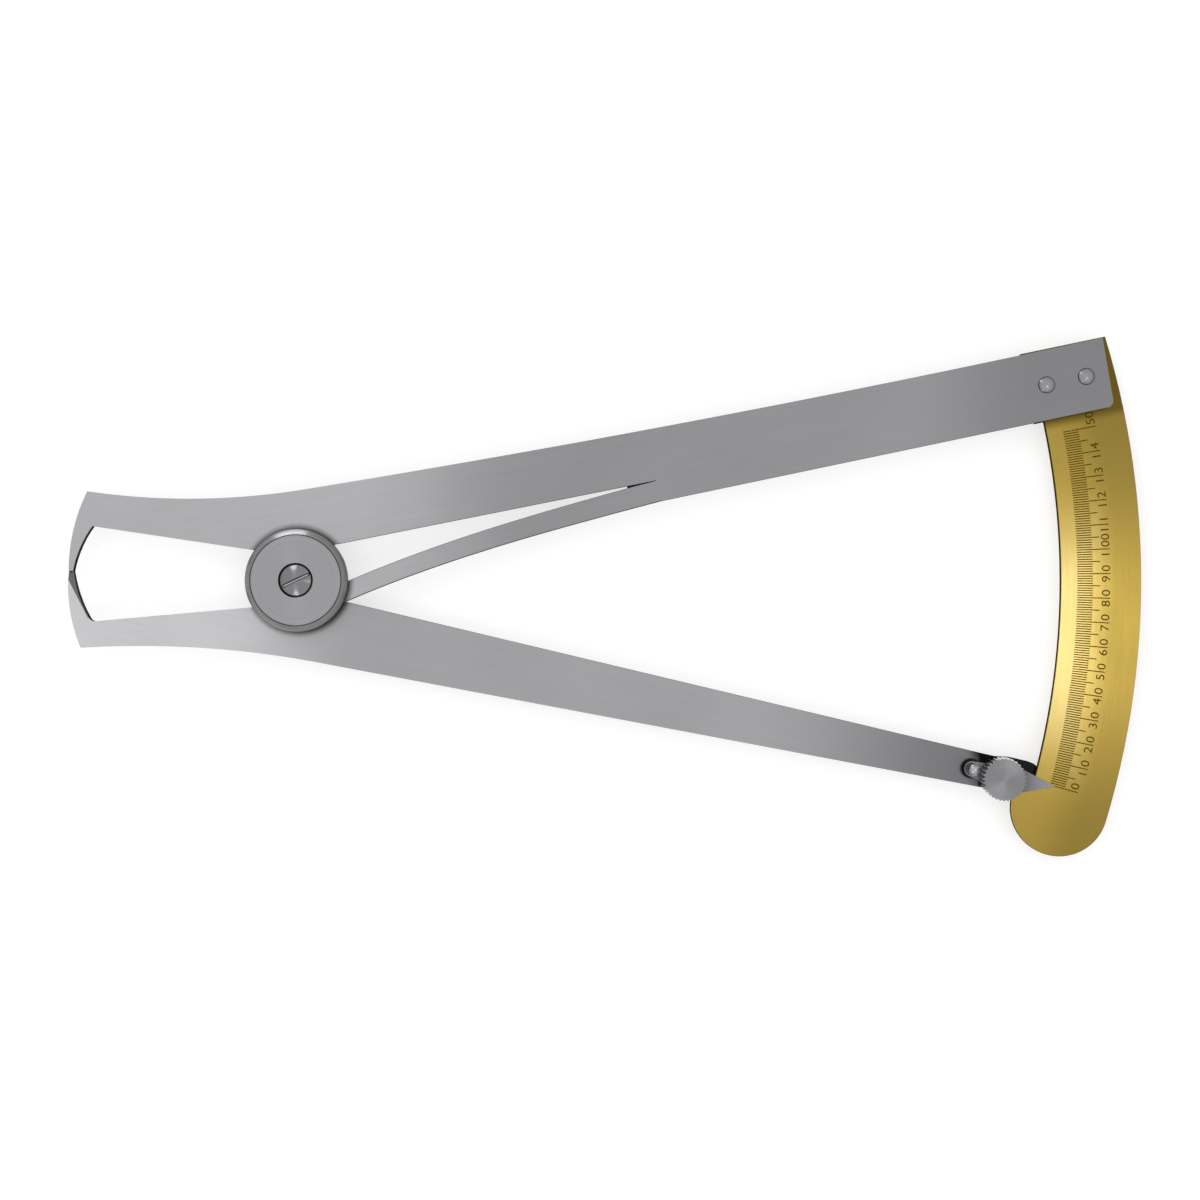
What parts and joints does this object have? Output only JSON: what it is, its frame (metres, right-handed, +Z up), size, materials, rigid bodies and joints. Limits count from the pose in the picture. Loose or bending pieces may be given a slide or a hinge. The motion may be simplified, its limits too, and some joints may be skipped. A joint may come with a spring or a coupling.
{
  "type": "spring caliper",
  "caption": "Flat spring caliper: two steel arms on one pivot, bowed jaws, a leaf spring cut from one arm, a brass sector scale and a pointer with a knurled clamp screw",
  "frame": {"origin": "on the pivot axis, on the underside of the back disc", "axes": "+X along the caliper towards the scale, with the jaw contact on -X; +Y towards the scale arm; +Z up through the front disc"},
  "size_m": [0.1594, 0.0775, 0.0084],
  "materials": {
    "arm_steel": "satin",
    "turned_steel": "turned",
    "bright_steel": "polished",
    "scale_brass": "satin"
  },
  "bodies": {
    "scale_arm": {"scale_arm": "arm_steel", "spring_leaf": "arm_steel", "scale_sector": "scale_brass", "sector_rivet_inner": "bright_steel", "sector_rivet_outer": "bright_steel", "back_disc": "turned_steel", "front_disc": "turned_steel", "pivot_screw": "bright_steel"},
    "pointer_arm": {"pointer_arm": "arm_steel", "spring_peg": "bright_steel", "pointer": "bright_steel", "pointer_pin": "bright_steel"},
    "clamp_screw": {"clamp_screw": "turned_steel"}
  },
  "joints": [
    {"name": "jaw_pivot", "type": "hinge", "parent": "scale_arm", "child": "pointer_arm", "pos_m": [0, 0, 0], "axis": [0, 0, 1], "range_deg": [0, 26], "stiffness_Nm_per_rad": 0.65, "springref_deg": -5.73, "deforming": ["spring_leaf"]},
    {"name": "clamp_turn", "type": "hinge", "parent": "pointer_arm", "child": "clamp_screw", "pos_m": [0.10527, -0.02481, 0], "axis": [0, 0, 1], "range_deg": [0, 360]}
  ]
}
